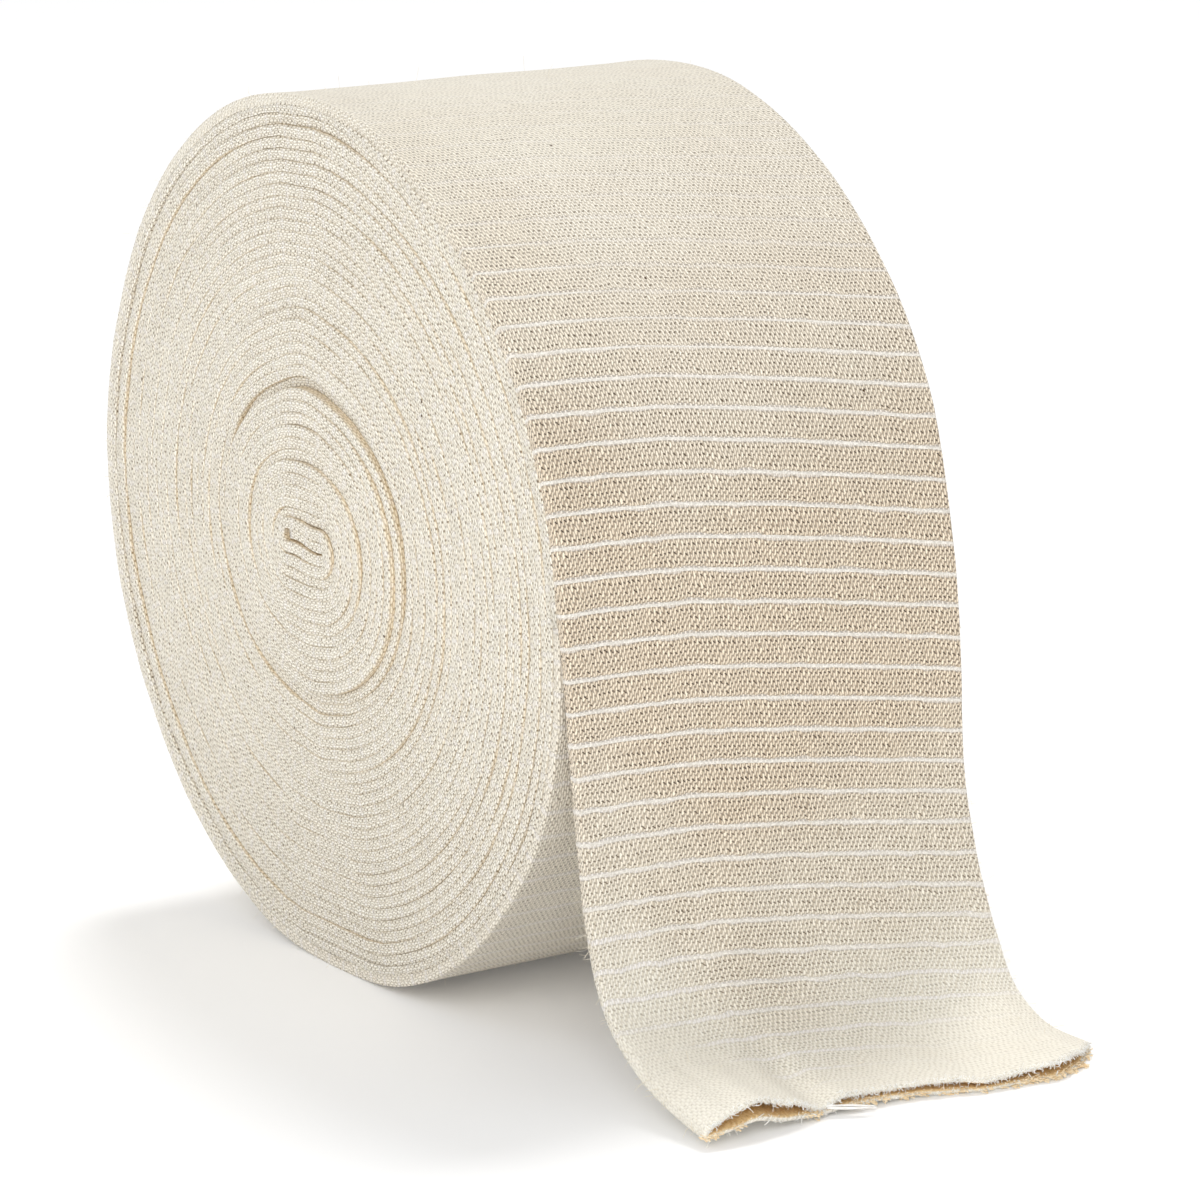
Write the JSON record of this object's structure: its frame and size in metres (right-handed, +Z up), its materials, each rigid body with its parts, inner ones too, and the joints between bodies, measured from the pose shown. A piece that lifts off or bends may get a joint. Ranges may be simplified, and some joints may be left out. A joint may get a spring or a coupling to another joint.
{
  "type": "tubular bandage",
  "caption": "Roll of knitted tubular support bandage standing on its rim: a flat tube of natural cotton wound on itself, with a free end that hangs in front and curves out to an open cut mouth.",
  "frame": {"origin": "on the ground, on the flattened underside of the roll, below the roll's axis and half way across its width", "axes": "+X along the roll's axis, -Y towards the free end, +Z up"},
  "size_m": [0.0776, 0.2097, 0.1533],
  "materials": {
    "cotton_knit_roll": "matte",
    "cotton_knit_tail": "matte"
  },
  "bodies": {
    "root": {"wound_roll": "cotton_knit_roll", "free_tail": "cotton_knit_tail"}
  },
  "joints": []
}
